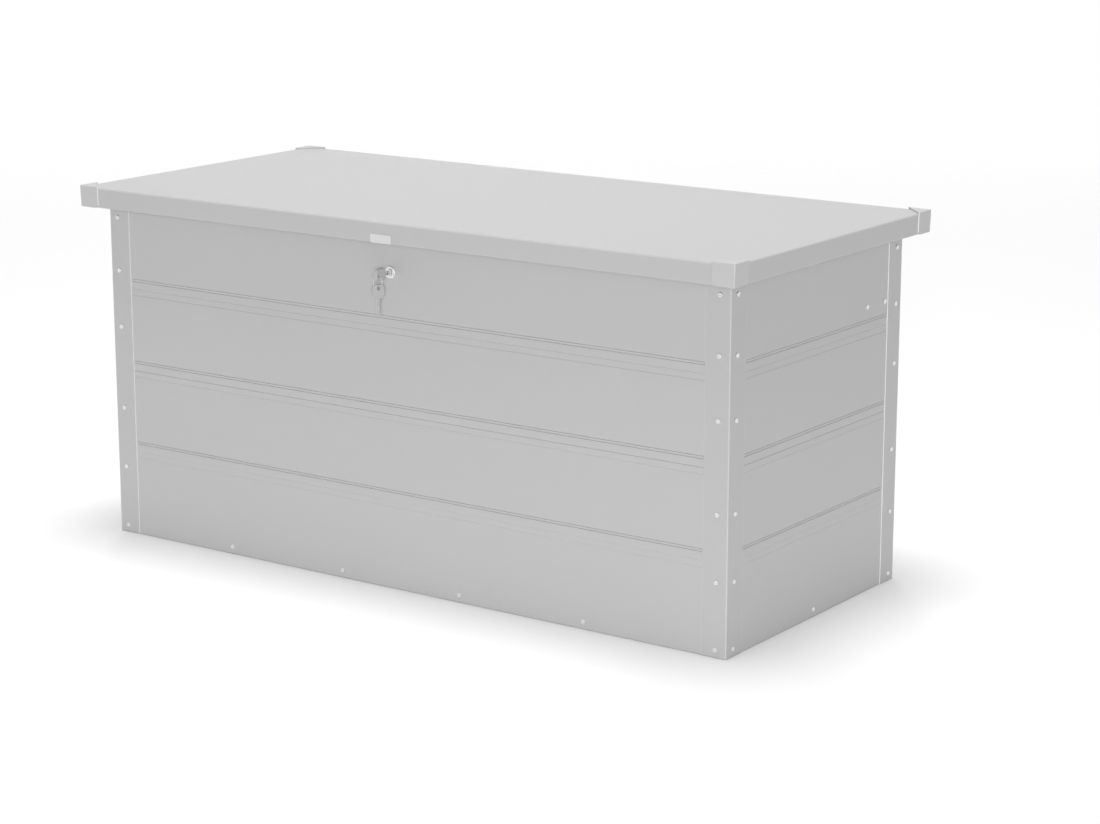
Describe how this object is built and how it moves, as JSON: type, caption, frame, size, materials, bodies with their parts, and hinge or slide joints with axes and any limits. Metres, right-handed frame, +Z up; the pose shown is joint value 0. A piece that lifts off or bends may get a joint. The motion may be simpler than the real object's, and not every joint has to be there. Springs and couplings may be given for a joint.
{
  "type": "garden storage chest",
  "caption": "Rectangular garden storage chest of folded sheet steel with banded walls, corner posts, a hinged lid on gas struts and a key-operated cam lock.",
  "frame": {"origin": "on the ground under the middle of the closed lid's outline", "axes": "+X to the right along the length, +Y to the back where the hinges are, +Z up; the lock faces -Y"},
  "size_m": [1.32, 0.6116, 0.62],
  "materials": {
    "painted_sheet": "light silver-grey paint, satin",
    "cap_plastic": "light grey moulded plastic",
    "zinc_steel": "bright zinc plate",
    "lock_chrome": "polished plate",
    "tube_black": "black paint, satin",
    "socket_plastic": "black moulded nylon",
    "rod_chrome": "hard chrome",
    "key_plastic": "grey moulded head",
    "plate_aluminium": "satin, bare"
  },
  "bodies": {
    "chest": {"front_wall_lower": "painted_sheet", "front_wall_upper": "painted_sheet", "rear_wall_lower": "painted_sheet", "rear_wall_upper": "painted_sheet", "left_wall_lower": "painted_sheet", "left_wall_upper": "painted_sheet", "right_wall_lower": "painted_sheet", "right_wall_upper": "painted_sheet", "corner_post_front_left": "painted_sheet", "corner_post_front_right": "painted_sheet", "corner_post_rear_left": "painted_sheet", "corner_post_rear_right": "painted_sheet", "top_rail_front": "painted_sheet", "top_rail_rear": "painted_sheet", "top_rail_left": "painted_sheet", "top_rail_right": "painted_sheet", "floor_panel_left": "painted_sheet", "floor_panel_right": "painted_sheet", "floor_splice": "painted_sheet", "wall_screws": "zinc_steel", "wall_nuts": "zinc_steel", "lock_barrel": "lock_chrome", "lock_nut": "zinc_steel", "hinge_wall_leaf_left": "zinc_steel", "hinge_wall_leaf_right": "zinc_steel", "hinge_pins": "zinc_steel", "hinge_wall_screws": "zinc_steel", "strut_wall_bracket_left": "zinc_steel", "strut_wall_bracket_right": "zinc_steel", "strut_wall_studs": "zinc_steel"},
    "lid": {"lid_panel": "painted_sheet", "lid_cap_front_left": "cap_plastic", "lid_cap_front_right": "cap_plastic", "lid_cap_rear_left": "cap_plastic", "lid_cap_rear_right": "cap_plastic", "lid_rear_rail": "painted_sheet", "lid_brace_left": "painted_sheet", "lid_brace_centre": "painted_sheet", "lid_brace_right": "painted_sheet", "hinge_lid_leaf_left": "zinc_steel", "hinge_lid_leaf_right": "zinc_steel", "hinge_lid_screws": "zinc_steel", "strut_lid_bracket_left": "zinc_steel", "strut_lid_bracket_right": "zinc_steel", "lock_catch": "zinc_steel", "label_plate": "plate_aluminium"},
    "lock": {"lock_plug": "lock_chrome", "lock_cam": "zinc_steel"},
    "key": {"key": "key_plastic"},
    "key_ring": {"key_ring": "zinc_steel"},
    "spare_key": {"spare_key": "key_plastic"},
    "strut_tube_left": {"strut_cylinder_left": "tube_black"},
    "strut_rod_left": {"strut_rod_left": "rod_chrome", "strut_socket_left": "socket_plastic", "strut_lid_stud_left": "zinc_steel"},
    "strut_tube_right": {"strut_cylinder_right": "tube_black"},
    "strut_rod_right": {"strut_rod_right": "rod_chrome", "strut_socket_right": "socket_plastic", "strut_lid_stud_right": "zinc_steel"}
  },
  "joints": [
    {"name": "lid_hinge", "type": "hinge", "parent": "chest", "child": "lid", "pos_m": [0, 0.2695, 0.584], "axis": [-1, 0, 0], "range_deg": [0, 75]},
    {"name": "strut_left_swing", "type": "hinge", "parent": "chest", "child": "strut_tube_left", "pos_m": [-0.596, 0.182, 0.479], "axis": [-1, 0, 0], "range_deg": [0, 61.69]},
    {"name": "strut_left_extend", "type": "slide", "parent": "strut_tube_left", "child": "strut_rod_left", "axis": [0, -0.8314, 0.5557], "range_m": [0, 0.1521]},
    {"name": "strut_right_swing", "type": "hinge", "parent": "chest", "child": "strut_tube_right", "pos_m": [0.596, 0.182, 0.479], "axis": [-1, 0, 0], "range_deg": [0, 61.69]},
    {"name": "strut_right_extend", "type": "slide", "parent": "strut_tube_right", "child": "strut_rod_right", "axis": [0, -0.8314, 0.5557], "range_m": [0, 0.1521]},
    {"name": "lock_turn", "type": "hinge", "parent": "chest", "child": "lock", "pos_m": [-0.012, -0.264, 0.53], "axis": [0, 1, 0], "range_deg": [0, 90]},
    {"name": "key_slide", "type": "slide", "parent": "lock", "child": "key", "axis": [0, -1, 0], "range_m": [0, 0.024]},
    {"name": "ring_swing", "type": "hinge", "parent": "key", "child": "key_ring", "pos_m": [-0.012, -0.2967, 0.53], "axis": [1, 0, 0], "range_deg": [-40, 12]},
    {"name": "spare_key_swing", "type": "hinge", "parent": "key_ring", "child": "spare_key", "pos_m": [-0.012, -0.2967, 0.5092], "axis": [0.9063, -0.4226, 0], "range_deg": [-30, 12]}
  ],
  "couplings": [
    {"joint": "strut_left_swing", "follows": "lid_hinge", "ratio": 0.82245},
    {"joint": "strut_left_extend", "follows": "lid_hinge", "m_per_rad": 0.11619},
    {"joint": "strut_right_swing", "follows": "lid_hinge", "ratio": 0.82245},
    {"joint": "strut_right_extend", "follows": "lid_hinge", "m_per_rad": 0.11619}
  ]
}
